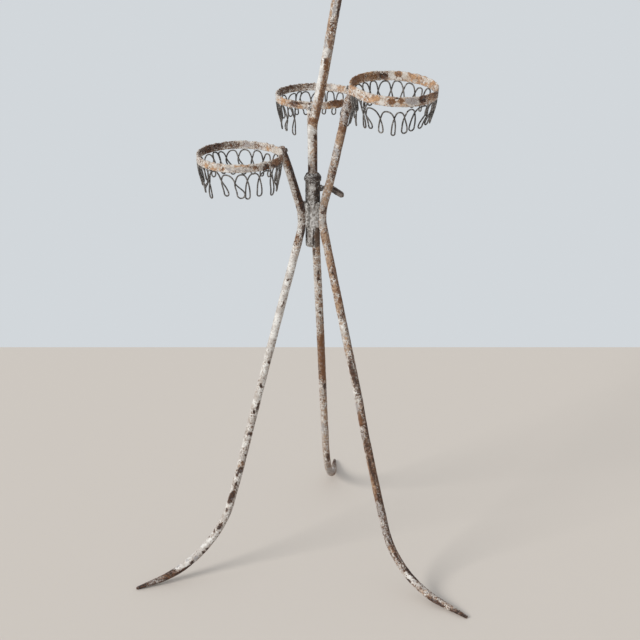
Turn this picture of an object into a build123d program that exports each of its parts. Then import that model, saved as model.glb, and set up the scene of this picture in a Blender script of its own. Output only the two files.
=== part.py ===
from build123d import *
from math import atan, cos, hypot, pi, radians, sin, sqrt, tan
import os

os.makedirs("parts", exist_ok=True)

# Driving dimensions, mm; +Z up, floor at z = 0, socket axis on Z, -Y toward the viewer.
ROD_R = 7.5            # leg and arm bar
POLE_R = 8.6           # crook pole bar
RUN = 0.1              # radial running clearance round the pole
SCREW_RUN = 0.05       # radial running clearance round the set screw
TUBE_R = 13.4
TUBE_Z = (663.0, 787.0)
KNEE_Z = 725.0         # height of the knees
KNEE_BEND = 110.0      # bend radius of the knees
KNEE_GAP = 0.08        # bar to tube, filled by the weld
FOOT_RADIUS = 367.4    # foot tips to the axis
TIP_R = 4.0            # radius at the foot tip's end
LEG_SLOPE = 0.2675     # leg: run per unit of drop
PLAIN = 0.5            # straight bar between the foot bend and the taper
ARM_START = 17.0       # radius where the arm's slope is reckoned from, at knee height
ARM_SHORT = 2.0        # arm's end below the band's top edge

RING_R = 75.0          # band, outside
BAND_T = 3.0
WIRE_R = 1.1
SEAM = 12.0            # open joint in the right band's strip
SEAM_AZ = 184.0
LOOPS = 22
LOOP_DROP = 42.0       # arch top to loop bottom
LOOP_HALF = 3.0        # loop's half width at its widest
LOOP_SIDE = 3.5        # widest point over the loop's bottom
LOOP_LEAN = 0.6        # one side of the loop outward, the other inward
CROSS_DROP = 19.0      # arch top to where the strands cross
CROSS_OUT = 1.4        # each strand's offset at the crossing
WIRE_BITE = 0.1        # arch tops let into the band's edge
GALLERY_TAPER = radians(11)
RIVET_R = 2.5
RIVET_HEAD_T = 2.6
RIVET_SUNK = 2.0       # head let into the bar

POLE_FOOT_Z = 668.0
POLE_BEND_Z = 888.0
POLE_BEND_R = 60.0
POLE_LEAN = radians(10.1)
CROOK_R = 105.0
CROOK_TOP_Z = 1611.0
HOOK_R = 17.0
HOOK_BAR_R = 5.0
HOOK_NECK = 35.0
HOOK_TAIL = 12.0

SCREW_Z = 770.0
SCREW_AZ = radians(30)
SCREW_R = 3.175
BOSS_R = 6.0
BOSS_END = 19.5
LEVER_IN = 30.0        # lever's inner face to the socket axis
LEVER_T = 6.0
LEVER_LEN = 46.0
LEVER_DROP = radians(3)
LEVER_END_R = 5.2
SHOULDER_T = 2.0       # screw's shoulder behind the lever
SHOULDER_GAP = 0.1     # play each side of the lever
CLINCH_T = 1.8         # screw's spread end over the lever
SCREW_OFF = 0.03       # screw's point to the pole

WELD_R = 5.4
WELD_LEN = 44.0
COLLAR_R = 15.9
COLLAR_Z = TUBE_Z[1] + 0.15

# Per rod: leg azimuth, arm azimuth, length and slope (degrees) of the tapered tip;
# then the ring: azimuth past the arm's, distance from the axis, mid-height, band height,
# droop in degrees and where to, how far the arm's centre stands outside the band;
# last, whether the strip's joint is open, and the gallery's first loop and loop count.
RODS = {
    "left": dict(leg_az=201.7, arm_az=207.0, taper=34.24, tip_deg=8.0,
                 past_az=0.0, ring_x=141.5, ring_z=855.2, band_h=14.5,
                 droop_deg=0.0, droop_az=0.0, stand_off=-1.5, seam=False, loops=(0, LOOPS)),
    "right": dict(leg_az=321.7, arm_az=327.0, taper=57.45, tip_deg=5.5,
                  past_az=7.0, ring_x=155.0, ring_z=970.8, band_h=17.0,
                  droop_deg=5.0, droop_az=-55.0, stand_off=1.5, seam=True, loops=(0, LOOPS)),
    "back": dict(leg_az=81.7, arm_az=92.5, taper=34.38, tip_deg=6.5,
                 past_az=-4.5, ring_x=150.0, ring_z=904.6, band_h=14.5,
                 droop_deg=0.0, droop_az=0.0, stand_off=0.0, seam=False, loops=(20, 16)),
}


UP = (Align.CENTER, Align.CENTER, Align.MIN)


def polar(r, deg, z):
    return Vector(r * cos(radians(deg)), r * sin(radians(deg)), z)


def bent(points, bends):
    """Edges of a polyline whose inner corners are rounded to the given radii."""
    edges = []
    last = points[0]
    for i, bend in enumerate(bends, start=1):
        p = points[i]
        d1 = (points[i - 1] - p).normalized()
        d2 = (points[i + 1] - p).normalized()
        half = radians(d1.get_angle(d2)) / 2
        t = bend / tan(half)
        mid = p + (d1 + d2).normalized() * (bend / sin(half) - bend)
        edges.append(Edge.make_line(last, p + d1 * t))
        edges.append(Edge.make_three_point_arc(p + d1 * t, mid, p + d2 * t))
        last = p + d2 * t
    edges.append(Edge.make_line(last, points[-1]))
    return Wire(edges)


def bar(path, radius):
    """Solid round bar along a wire."""
    with BuildPart() as p:
        with BuildSketch(Plane(origin=path @ 0, z_dir=path % 0)) as section:
            Circle(radius)
        sweep(sections=section.sketch, path=path)
    return p.part


def ring_frame(rod):
    """Plane at the centre of a ring's band, its z along the ring's axis."""
    d = radians(rod["droop_deg"])
    a = radians(rod["droop_az"])
    n = Vector(sin(d) * cos(a), sin(d) * sin(a), cos(d))
    return Plane(origin=polar(rod["ring_x"], rod["arm_az"] + rod["past_az"], rod["ring_z"]),
                 x_dir=Vector(n.Z, 0, -n.X), z_dir=n)


def arm_points(rod):
    """Knee corner and arm end: the arm crosses mid-band just outside the strip."""
    centre = polar(rod["ring_x"], rod["arm_az"] + rod["past_az"], 0)
    u = polar(1, rod["arm_az"], 0)
    along = centre.dot(u)
    off2 = centre.dot(centre) - along ** 2
    reach = along - sqrt((RING_R + rod["stand_off"]) ** 2 - off2)
    rise = RING_R * sin(radians(rod["droop_deg"])) * cos(radians(rod["arm_az"] - rod["droop_az"]))
    z_mid = rod["ring_z"] + rise
    slope = (reach - ARM_START) / (z_mid - KNEE_Z)
    half = (atan(slope) + atan(LEG_SLOPE)) / 2
    knee_r = TUBE_R + ROD_R + KNEE_GAP - KNEE_BEND * (1 / cos(half) - 1)
    top_z = z_mid + rod["band_h"] / 2 - ARM_SHORT
    top_r = reach + slope * (top_z - z_mid)
    knee = polar(knee_r, (rod["leg_az"] + rod["arm_az"]) / 2, KNEE_Z)
    return knee, polar(top_r, rod["arm_az"], top_z), polar(reach, rod["arm_az"], z_mid)


def foot_points(rod, knee_r):
    """Corner under the foot bend, taper start, tip and bend radius, in the leg's own plane."""
    fall = tan(radians(rod["tip_deg"]))
    z = (TIP_R + fall * (FOOT_RADIUS - knee_r - LEG_SLOPE * KNEE_Z)) / (1 - fall * LEG_SLOPE)
    r = knee_r + LEG_SLOPE * (KNEE_Z - z)
    turn = pi / 2 - radians(rod["tip_deg"]) - atan(LEG_SLOPE)
    flat = cos(radians(rod["tip_deg"]))
    start = FOOT_RADIUS - rod["taper"] * flat
    bend = ((start - r) / flat - PLAIN) / tan(turn / 2)
    return (polar(r, rod["leg_az"], z),
            polar(start, rod["leg_az"], TIP_R + fall * (FOOT_RADIUS - start)),
            polar(FOOT_RADIUS, rod["leg_az"], TIP_R), bend)


def make_rod(rod):
    knee, top, _ = arm_points(rod)
    corner, taper, tip, foot_bend = foot_points(rod, hypot(knee.X, knee.Y))
    shank = bar(bent([taper, corner, knee, top], [foot_bend, KNEE_BEND]), ROD_R)
    frame = ring_frame(rod)
    with BuildPart() as p:
        add(shank)
        with Locations(Plane(origin=taper, z_dir=tip - taper)):
            Cone(ROD_R, TIP_R, (tip - taper).length, align=UP)
        with Locations(Plane(origin=tip, z_dir=tip - taper)):
            Sphere(TIP_R)
        with Locations(top):
            Sphere(ROD_R)
        with Locations(frame):
            Cylinder(RING_R, 6 * ROD_R, mode=Mode.SUBTRACT)
        with Locations(rivet_frame(rod)):
            Cylinder(RIVET_R, 6 * ROD_R, mode=Mode.SUBTRACT)
    return p.part


def rivet_frame(rod):
    """Plane on the ring's axis at mid-band, its z out through the arm's end."""
    frame = ring_frame(rod)
    _, _, at = arm_points(rod)
    out = at - frame.origin
    out = out - frame.z_dir * out.dot(frame.z_dir)
    return Plane(origin=frame.origin + out.normalized() * RING_R, x_dir=frame.z_dir, z_dir=out)


def make_band(rod):
    with BuildPart() as p:
        with Locations(ring_frame(rod)):
            Cylinder(RING_R, rod["band_h"])
            Cylinder(RING_R - BAND_T, rod["band_h"], mode=Mode.SUBTRACT)
        with Locations(rivet_frame(rod)):
            Cylinder(RIVET_R, 6 * BAND_T, mode=Mode.SUBTRACT)
        if rod["seam"]:
            with Locations(ring_frame(rod).location * Location((0, 0, 0), (0, 0, SEAM_AZ))
                           * Location((RING_R, 0, 0))):
                Box(4 * BAND_T, SEAM, 2 * rod["band_h"], mode=Mode.SUBTRACT)
    return p.part


PITCH = 2 * pi * (RING_R - BAND_T / 2) / LOOPS

# One loop of the gallery wire, unrolled: (along, up, out) from an arch top, and the heading there.
MID = PITCH / 2
LOOP = [
    ((0, 0, 0), (1, 0, 0.12)),
    ((MID, -CROSS_DROP, CROSS_OUT), (0.31, -0.95, 0)),
    ((MID + LOOP_HALF, LOOP_SIDE - LOOP_DROP, LOOP_LEAN), (0, -1, -0.08)),
    ((MID, -LOOP_DROP, 0), (-1, 0, -0.2)),
    ((MID - LOOP_HALF, LOOP_SIDE - LOOP_DROP, -LOOP_LEAN), (0, 1, -0.08)),
    ((MID, -CROSS_DROP, -CROSS_OUT), (0.31, 0.95, 0)),
    ((PITCH, 0, 0), (1, 0, 0.12)),
]


def biarc(p1, t1, p2, t2):
    """Two arcs from p1 heading t1 to p2 heading t2, tangent where they meet."""
    v = p2 - p1
    c = 2 * (1 - t1.dot(t2))
    b = v.dot(t1 + t2)
    d = (sqrt(b * b + c * v.dot(v)) - b) / c
    q1 = p1 + t1 * d
    q2 = p2 - t2 * d
    mid = (q1 + q2) * 0.5
    return [Edge.make_tangent_arc(p1, t1, mid), Edge.make_tangent_arc(mid, q2 - q1, p2)]


def least_gap(arcs):
    """Least clear gap of the wire to itself, over two loops, leaving out what is next along it."""
    pts = []
    run = 0.0
    for k in range(2):
        for arc in arcs:
            turned = arc.rotate(Axis.Z, 360 * k / LOOPS)
            pts += [(run + turned.length * i / 12, turned @ (i / 12)) for i in range(12)]
            run += turned.length
    return min((p - q).length for i, (a, p) in enumerate(pts) for b, q in pts[i:]
               if b - a > 4 * pi * WIRE_R) - 2 * WIRE_R


def make_gallery(rod):
    """One wire of equal loops hung from the band's lower edge, tapering inward. It is endless,
    or where loops are broken off, cut square at the arch tops on both sides of them."""
    rim = RING_R - BAND_T / 2
    top = WIRE_BITE - rod["band_h"] / 2 - WIRE_R

    def rolled(s, z, out):
        r = rim + z * tan(GALLERY_TAPER) + out
        return Vector(r * cos(s / rim), r * sin(s / rim), top + z)

    keys = []
    for at, heading in LOOP:
        here = rolled(*at)
        ahead = rolled(*(a + 1e-4 * h for a, h in zip(at, heading)))
        keys.append((here, (ahead - here).normalized()))
    arcs = []
    for here, ahead in zip(keys, keys[1:]):
        arcs += biarc(*here, *ahead)
    print("gallery wire: loops", LOOPS, "least gap to itself mm", round(least_gap(arcs), 2))
    skin = bar(Wire(arcs), WIRE_R).faces().filter_by(GeomType.TORUS)
    first, count = rod["loops"]
    faces = [f.rotate(Axis.Z, 360 * k / LOOPS) for k in range(first, first + count) for f in skin]
    if count < LOOPS:
        end = Face(Wire.make_circle(WIRE_R, Plane(origin=keys[0][0], z_dir=keys[0][1])))
        faces += [end.rotate(Axis.Z, 360 * k / LOOPS) for k in (first, first + count)]
    return ring_frame(rod).location * Solid(Shell(faces))


def make_rivet(rod):
    with BuildPart() as p:
        with Locations(rivet_frame(rod)):
            with Locations((0, 0, -2 * BAND_T)):
                Cylinder(RIVET_R, 2 * BAND_T + rod["stand_off"] + ROD_R, align=UP)
            with Locations((0, 0, rod["stand_off"] + ROD_R - RIVET_SUNK)):
                Cylinder(2 * RIVET_R, RIVET_HEAD_T, align=UP)
        fillet(p.edges().filter_by(GeomType.CIRCLE).sort_by(
            lambda e: (e.center() - rivet_frame(rod).origin).dot(rivet_frame(rod).z_dir))[-1], 1.8)
        with Locations(ring_frame(rod)):
            Cylinder(RING_R - BAND_T, 3 * rod["band_h"], mode=Mode.SUBTRACT)
    return p.part


def keep(name, part):
    part.label = name
    export_step(part, f"parts/{name}.step")
    return part


rods = {k: make_rod(v) for k, v in RODS.items()}
for side, shape in rods.items():
    keep(f"rod_{side}", shape)
    keep(f"ring_band_{side}", make_band(RODS[side]))
    keep(f"gallery_{side}", make_gallery(RODS[side]))

pins = [make_rivet(rod) - rods[side] for side, rod in RODS.items()]
with BuildPart() as rivets:
    for pin in pins:
        add(pin)
keep("band_rivets", rivets.part)

# Socket tube, its boss and the welds at the knees.
screw_frame = Plane(origin=(0, 0, SCREW_Z), x_dir=(sin(SCREW_AZ), -cos(SCREW_AZ), 0),
                    z_dir=(cos(SCREW_AZ), sin(SCREW_AZ), 0))

with BuildPart() as tube:
    with Locations((0, 0, TUBE_Z[0])):
        Cylinder(TUBE_R, TUBE_Z[1] - TUBE_Z[0], align=UP)
        Cylinder(POLE_R + RUN, TUBE_Z[1] - TUBE_Z[0], align=UP, mode=Mode.SUBTRACT)
    chamfer(tube.edges().filter_by(GeomType.CIRCLE).group_by(Axis.Z)[0], 0.8)
    with Locations(screw_frame):
        Cylinder(SCREW_R + SCREW_RUN, 2 * TUBE_R, align=UP, mode=Mode.SUBTRACT)
keep("socket_tube", tube.part)

with BuildPart() as boss:
    with Locations(screw_frame):
        Cylinder(BOSS_R, BOSS_END, align=UP)
        chamfer(boss.faces().sort_by(lambda f: f.center().dot(screw_frame.z_dir))[-1].edges(), 0.8)
    with Locations((0, 0, SCREW_Z)):
        Cylinder(TUBE_R, 4 * BOSS_R, mode=Mode.SUBTRACT)
    with Locations(screw_frame):
        Cylinder(SCREW_R + SCREW_RUN, 2 * BOSS_END, align=UP, mode=Mode.SUBTRACT)
keep("screw_boss", boss.part)

with BuildPart() as welds:
    for rod in RODS.values():
        knee = arm_points(rod)[0]
        with Locations(Vector(knee.X, knee.Y, 0).normalized() * (TUBE_R + 0.6) + Vector(0, 0, KNEE_Z)):
            Cylinder(WELD_R, WELD_LEN)
    with Locations((0, 0, KNEE_Z)):
        Cylinder(TUBE_R, 2 * WELD_LEN, mode=Mode.SUBTRACT)
    for shape in rods.values():
        add(shape, mode=Mode.SUBTRACT)
keep("hub_welds", welds.part)

# Collar on the socket's mouth.
with BuildPart() as collar:
    with BuildSketch(Plane.XZ):
        with BuildLine():
            Polyline([(POLE_R + RUN, COLLAR_Z), (COLLAR_R - 0.8, COLLAR_Z), (COLLAR_R, COLLAR_Z + 1.4),
                      (COLLAR_R, COLLAR_Z + 5.0), (COLLAR_R - 1.3, COLLAR_Z + 7.6),
                      (POLE_R + 2.6, COLLAR_Z + 13.2), (POLE_R + 1.0, COLLAR_Z + 14.4),
                      (POLE_R + RUN, COLLAR_Z + 14.4)], close=True)
        make_face()
    revolve(axis=Axis.Z)
keep("socket_collar", collar.part)

# Crook pole: straight foot, bend, leaning rise, crook, drawn-down neck and hook.
start_z = CROOK_TOP_Z - CROOK_R - CROOK_R * sin(POLE_LEAN)
start = Vector((start_z - POLE_BEND_Z) * tan(POLE_LEAN), 0, start_z)
crook_c = start + Vector(-CROOK_R * cos(POLE_LEAN), 0, CROOK_R * sin(POLE_LEAN))
neck = crook_c - Vector(CROOK_R, 0, 0)
neck_end = neck - Vector(0, 0, HOOK_NECK)
lower = bent([Vector(0, 0, POLE_FOOT_Z), Vector(0, 0, POLE_BEND_Z), start], [POLE_BEND_R])
crook = Edge.make_three_point_arc(start, crook_c + Vector(0, 0, CROOK_R), neck)
hook_end = neck_end - Vector(2 * HOOK_R, 0, 0)
hook = Wire([Edge.make_three_point_arc(neck_end, neck_end - Vector(HOOK_R, 0, HOOK_R), hook_end),
             Edge.make_line(hook_end, hook_end + Vector(0, 0, HOOK_TAIL))])
stem = bar(Wire(lower.edges() + [crook]), POLE_R)
hook_bar = bar(hook, HOOK_BAR_R)
with BuildPart() as pole:
    add(stem)
    with Locations(Plane(origin=neck, z_dir=(0, 0, -1))):
        Cone(POLE_R, HOOK_BAR_R, HOOK_NECK, align=UP)
    add(hook_bar)
    with Locations(hook_end + Vector(0, 0, HOOK_TAIL)):
        Sphere(HOOK_BAR_R)
    chamfer(pole.faces().sort_by(Axis.Z)[0].edges(), 1.5)
keep("crook_pole", pole.part)

# Set screw and its lever.
with BuildPart() as screw:
    with Locations(screw_frame):
        with Locations((0, 0, POLE_R + SCREW_OFF)):
            Cylinder(SCREW_R, LEVER_IN + LEVER_T + SHOULDER_GAP - POLE_R - SCREW_OFF, align=UP)
        with Locations((0, 0, LEVER_IN - SHOULDER_GAP - SHOULDER_T)):
            Cylinder(SCREW_R + 1.9, SHOULDER_T, align=UP)
        with Locations((0, 0, LEVER_IN + LEVER_T + SHOULDER_GAP)):
            Cylinder(SCREW_R + 1.4, CLINCH_T, align=UP)
keep("lock_screw", screw.part)

with BuildPart() as lever:
    with BuildSketch(screw_frame.offset(LEVER_IN)):
        Circle(BOSS_R)
        with Locations((LEVER_LEN * cos(LEVER_DROP), LEVER_LEN * sin(LEVER_DROP))):
            Circle(LEVER_END_R)
        make_hull()
        Circle(SCREW_R + SCREW_RUN, mode=Mode.SUBTRACT)
    extrude(amount=LEVER_T)
    fillet(lever.faces().filter_by(GeomType.PLANE).group_by(
        lambda f: round(f.center().dot(screw_frame.z_dir), 1))[-1].edges().filter_by(
        lambda e: e.length > 2.5 * 2 * pi * SCREW_R or e.geom_type != GeomType.CIRCLE
        or e.radius > SCREW_R + 1), 1.2)
keep("lock_lever", lever.part)
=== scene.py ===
import itertools
import math

import bpy
import numpy as np
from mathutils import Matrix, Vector


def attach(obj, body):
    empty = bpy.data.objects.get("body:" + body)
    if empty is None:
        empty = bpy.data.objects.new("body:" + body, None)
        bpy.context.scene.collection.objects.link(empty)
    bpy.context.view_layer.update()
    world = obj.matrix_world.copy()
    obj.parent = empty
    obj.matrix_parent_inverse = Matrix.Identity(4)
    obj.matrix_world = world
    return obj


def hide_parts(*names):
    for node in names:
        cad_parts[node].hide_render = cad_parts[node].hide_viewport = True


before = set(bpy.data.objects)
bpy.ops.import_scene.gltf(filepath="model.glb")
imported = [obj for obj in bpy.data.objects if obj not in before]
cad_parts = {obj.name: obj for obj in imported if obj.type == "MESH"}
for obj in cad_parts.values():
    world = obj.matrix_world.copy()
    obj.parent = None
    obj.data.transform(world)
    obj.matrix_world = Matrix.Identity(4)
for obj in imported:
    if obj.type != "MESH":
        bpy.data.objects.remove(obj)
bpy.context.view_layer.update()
MM = 0.001

# Camera: the photograph's place and lens. FOCAL is in pixels of the 640 x 640 picture.
PICTURE = 640
MIDDLE = PICTURE / 2
SENSOR = 36.0
FOCAL = 1297.0
PITCH = math.radians(23.54)
CAM_AT = np.array((0.01315, -2.24125, 1.489))
CAM_X = np.array((1.0, 0.0, 0.0))
CAM_UP = np.array((0.0, math.sin(PITCH), math.cos(PITCH)))
CAM_FWD = np.array((0.0, math.cos(PITCH), -math.sin(PITCH)))

cam_data = bpy.data.cameras.new("camera")
cam_data.sensor_fit = "HORIZONTAL"
cam_data.sensor_width = SENSOR
cam_data.lens = SENSOR * FOCAL / PICTURE
cam_data.clip_start = 0.05
cam = bpy.data.objects.new("camera", cam_data)
cam.location = CAM_AT
cam.rotation_euler = (math.pi / 2 - PITCH, 0.0, 0.0)
bpy.context.scene.collection.objects.link(cam)
bpy.context.scene.camera = cam


def picture(p):
    """Picture column and row of points."""
    d = p - CAM_AT
    f = d @ CAM_FWD
    return MIDDLE + FOCAL * (d @ CAM_X) / f, MIDDLE - FOCAL * (d @ CAM_UP) / f


def sight(u, v):
    """Direction of the ray through a picture point."""
    return CAM_FWD * FOCAL + CAM_X * (u - MIDDLE) + CAM_UP * (MIDDLE - v)


# Sizes shared with the solids, in metres.
ROD_R = 7.5 * MM
POLE_R = 8.6 * MM
TUBE_R = 13.4 * MM
WELD_GAP = 0.08 * MM
KNEE_Z = 725 * MM
KNEE_BEND = 110 * MM
FOOT_RADIUS = 367.4 * MM
TIP_R = 4.0 * MM
LEG_SLOPE = 0.2675
ARM_START = 17 * MM
ARM_SHORT = 2 * MM
RING_R = 75 * MM
BAND_T = 3 * MM
WIRE_R = 1.1 * MM
LOOPS = 22
LOOP_DROP = 42 * MM
CROSS_DROP = 19 * MM
CROSS_OUT = 1.4 * MM
GALLERY_TAPER = math.radians(11)

# Each rod and its ring, in millimetres and degrees: directions of leg and arm in plan, the foot's
# tapered length and slope, the ring's turn past the arm, its place, how much lower the photograph
# shows it than the solid, the band's height, the ring's tilt and where to, and how far outside the
# band the arm ends.
RODS = {
    "left": dict(leg=201.7, arm=207, taper=34.24, tip=8, past=0, x=141.5, z=855.2, sag=4.7,
                 h=14.5, droop=0, to=0, off=-1.5),
    "right": dict(leg=321.7, arm=327, taper=57.45, tip=5.5, past=7, x=155, z=970.8, sag=0,
                  h=17, droop=5, to=-55, off=1.5),
    "back": dict(leg=81.7, arm=92.5, taper=34.38, tip=6.5, past=-4.5, x=150, z=904.6, sag=0,
                 h=14.5, droop=0, to=0, off=0),
}


def polar(r, deg, z):
    a = math.radians(deg)
    return np.array((r * math.cos(a), r * math.sin(a), z))


def unit(v):
    return v / np.linalg.norm(v, axis=-1, keepdims=True)


def bend_line(points, radii, step=1.0 * MM):
    """Points along a polyline with rounded corners."""
    out = []
    last = points[0]

    def run(a, b):
        n = max(2, int(round(np.linalg.norm(b - a) / step)))
        out.extend(a + (b - a) * t for t in np.linspace(0, 1, n, endpoint=False))

    for i, radius in enumerate(radii, start=1):
        p = points[i]
        d1 = unit(points[i - 1] - p)
        d2 = unit(points[i + 1] - p)
        half = math.acos(np.clip(d1 @ d2, -1, 1)) / 2
        t = radius / math.tan(half)
        centre = p + unit(d1 + d2) * radius / math.sin(half)
        a, b = p + d1 * t, p + d2 * t
        run(last, a)
        ea, eb = a - centre, b - centre
        sweep = math.pi - 2 * half
        n = max(3, int(round(radius * sweep / step)))
        for k in range(n):
            w = k / n * sweep
            out.append(centre + (ea * math.sin(sweep - w) + eb * math.sin(w)) / math.sin(sweep))
        last = b
    run(last, points[-1])
    out.append(points[-1])
    return np.array(out)


NOISE_HASH = (73856093, 19349663, 83492791)
NOISE_MIX = 1274126177


def noise(p, size, seed=0.0):
    """Smooth seeded noise of points, about -1 to 1, with blobs of the given size."""
    q = p / size + np.array((seed * 13.7 + 0.31, seed * 7.3 + 5.17, seed * 3.1 + 9.7))
    i = np.floor(q).astype(np.int64)
    f = q - i
    f = f * f * (3 - 2 * f)
    total = 0.0
    for dx, dy, dz in itertools.product((0, 1), repeat=3):
        n = ((i[:, 0] + dx) * NOISE_HASH[0] ^ (i[:, 1] + dy) * NOISE_HASH[1]
             ^ (i[:, 2] + dz) * NOISE_HASH[2])
        n = (n ^ (n >> 13)) * NOISE_MIX
        n = (n ^ (n >> 16)) & 0xFFFFFF
        w = ((f[:, 0] if dx else 1 - f[:, 0]) * (f[:, 1] if dy else 1 - f[:, 1])
             * (f[:, 2] if dz else 1 - f[:, 2]))
        total = total + w * (n / 0x7FFFFF - 1.0)
    return total


def rough(p, size, seed, octaves=3):
    """Noise in three sizes, each half the last."""
    return sum(noise(p, size / 2 ** k, seed + k) * 0.5 ** k for k in range(octaves)) / 1.5


# Meshes.
UV_LAYER = "OFBake"
UV_SPAN = 0.98
UV_EDGE = 0.01
UV_CAP = 0.005
STRIP_GAP = 1.06


def make_object(name, verts, faces, uv=None):
    mesh = bpy.data.meshes.new(name)
    mesh.vertices.add(len(verts))
    mesh.vertices.foreach_set("co", np.asarray(verts, np.float32).ravel())
    sizes = np.array([len(f) for f in faces])
    mesh.loops.add(int(sizes.sum()))
    mesh.loops.foreach_set("vertex_index", np.concatenate([np.asarray(f) for f in faces]))
    mesh.polygons.add(len(faces))
    mesh.polygons.foreach_set("loop_start", np.concatenate(([0], np.cumsum(sizes)[:-1])))
    mesh.polygons.foreach_set("use_smooth", np.ones(len(faces), bool))
    mesh.update(calc_edges=True)
    mesh.validate()
    if uv is not None:
        layer = mesh.uv_layers.new(name=UV_LAYER)
        layer.data.foreach_set("uv", np.asarray(uv, np.float32).ravel())
    obj = bpy.data.objects.new(name, mesh)
    bpy.context.scene.collection.objects.link(obj)
    return obj


def vectors(mesh, kind):
    """Places ("co") or normals ("normal") of a mesh's vertices."""
    values = np.zeros(len(mesh.vertices) * 3, np.float32)
    mesh.vertices.foreach_get(kind, values)
    return values.reshape(-1, 3).astype(float)


def place(mesh, co):
    """Move a mesh's vertices."""
    mesh.vertices.foreach_set("co", co.astype(np.float32).ravel())
    mesh.update()


def frames(pts, closed=False):
    """Tangent and two carried normals along a line of points."""
    if closed:
        t = unit(np.roll(pts, -1, 0) - np.roll(pts, 1, 0))
    else:
        t = unit(np.gradient(pts, axis=0))
    ref = np.array((0.0, 0.0, 1.0)) if abs(t[0][2]) < 0.8 else np.array((0.0, -1.0, 0.0))
    n = np.zeros_like(pts)
    n[0] = unit(ref - t[0] * (ref @ t[0]))
    for i in range(1, len(pts)):
        v = n[i - 1] - t[i] * (n[i - 1] @ t[i])
        n[i] = v / np.linalg.norm(v)
    if closed:
        turn = math.atan2(n[-1] @ np.cross(t[0], n[0]), n[-1] @ n[0])
        a = -turn * np.arange(len(pts)) / len(pts)
        b = np.cross(t, n)
        n = n * np.cos(a)[:, None] + b * np.sin(a)[:, None]
    return t, n, np.cross(t, n)


def tube_grid(pts, radii, around, closed=False, cap=6, blunt=1.0):
    """Rings of points round a line, rounded at open ends, the last one flattened by blunt. Gives
    the points, their outward directions and the distance along."""
    t, n, b = frames(pts, closed)
    if not closed:
        steps = np.linspace(0, math.pi / 2, cap + 1)[1:] * 0.98
        for end, sign, reach in ((0, -1, 1.0), (-1, 1, blunt)):
            r = radii[end]
            extra = [pts[end] + sign * t[end] * r * reach * math.sin(w) for w in steps][::sign]
            small = [r * math.cos(w) for w in steps][::sign]
            pts = np.concatenate([pts, extra][::sign])
            radii = np.concatenate([radii, small][::sign])
            t, n, b = (np.concatenate([a, np.repeat(a[end][None], cap, 0)][::sign]) for a in (t, n, b))
    a = np.linspace(0, 2 * math.pi, around, endpoint=False)
    out = n[:, None, :] * np.cos(a)[None, :, None] + b[:, None, :] * np.sin(a)[None, :, None]
    grid = pts[:, None, :] + out * radii[:, None, None]
    s = np.concatenate(([0], np.cumsum(np.linalg.norm(np.diff(pts, axis=0), axis=1))))
    return grid, out, s


def grid_faces(rows, around, closed, first=0):
    i = np.arange(rows if closed else rows - 1)
    ii, jj = np.meshgrid(i, np.arange(around), indexing="ij")
    k = (ii + 1) % rows
    m = (jj + 1) % around
    quads = np.stack([ii * around + jj, ii * around + m, k * around + m, k * around + jj], -1)
    return first + quads.reshape(-1, 4)


def end_faces(rows, around, first=0):
    return [first + np.arange(around)[::-1], first + (rows - 1) * around + np.arange(around)]


def strip_uv(rows, around, s, girth, closed):
    """Strips of the tube laid side by side in the unit square, without stretching."""
    length = s[-1] + (s[1] - s[0] if closed else 0.0)
    strips = max(1, int(math.ceil(math.sqrt(length / girth))))
    count = rows if closed else rows - 1
    per = int(math.ceil(count / strips))
    seg = per * length / count
    scale = UV_SPAN / max(seg, strips * girth * STRIP_GAP)
    i = np.arange(count)
    strip = i // per
    ss = np.concatenate((s, [length]))
    start = ss[np.minimum(strip * per, len(ss) - 1)]
    u0 = (ss[i] - start) * scale + UV_EDGE
    u1 = (ss[i + 1] - start) * scale + UV_EDGE
    j = np.arange(around)
    v0 = strip[:, None] * girth * STRIP_GAP * scale + UV_EDGE + j[None] / around * girth * scale
    v1 = v0 + girth * scale / around
    u0 = np.repeat(u0[:, None], around, 1)
    u1 = np.repeat(u1[:, None], around, 1)
    corners = [np.stack(corner, -1) for corner in ((u0, v0), (u0, v1), (u1, v1), (u1, v0))]
    return np.stack(corners, -2).reshape(-1, 2)


def tube_object(name, grid, s, girth, closed=False):
    rows, around = grid.shape[:2]
    uv = strip_uv(rows, around, s, girth, closed)
    faces = list(grid_faces(rows, around, closed))
    if not closed:
        faces += end_faces(rows, around)
        uv = np.concatenate([uv, np.full((2 * around, 2), UV_CAP)])
    return make_object(name, grid.reshape(-1, 3), faces, uv)


# What each kind of spot adds to bare, ochre and grey: dark, rust, ochre, white and grey.
SPOT_GAINS = {
    "d": (0.9, -0.3, -0.3),
    "r": (0.55, 0.6, -0.4),
    "o": (-0.1, 0.6, -0.4),
    "w": (-0.6, -0.6, -0.6),
    "g": (-0.2, -0.4, 0.7),
}


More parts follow.
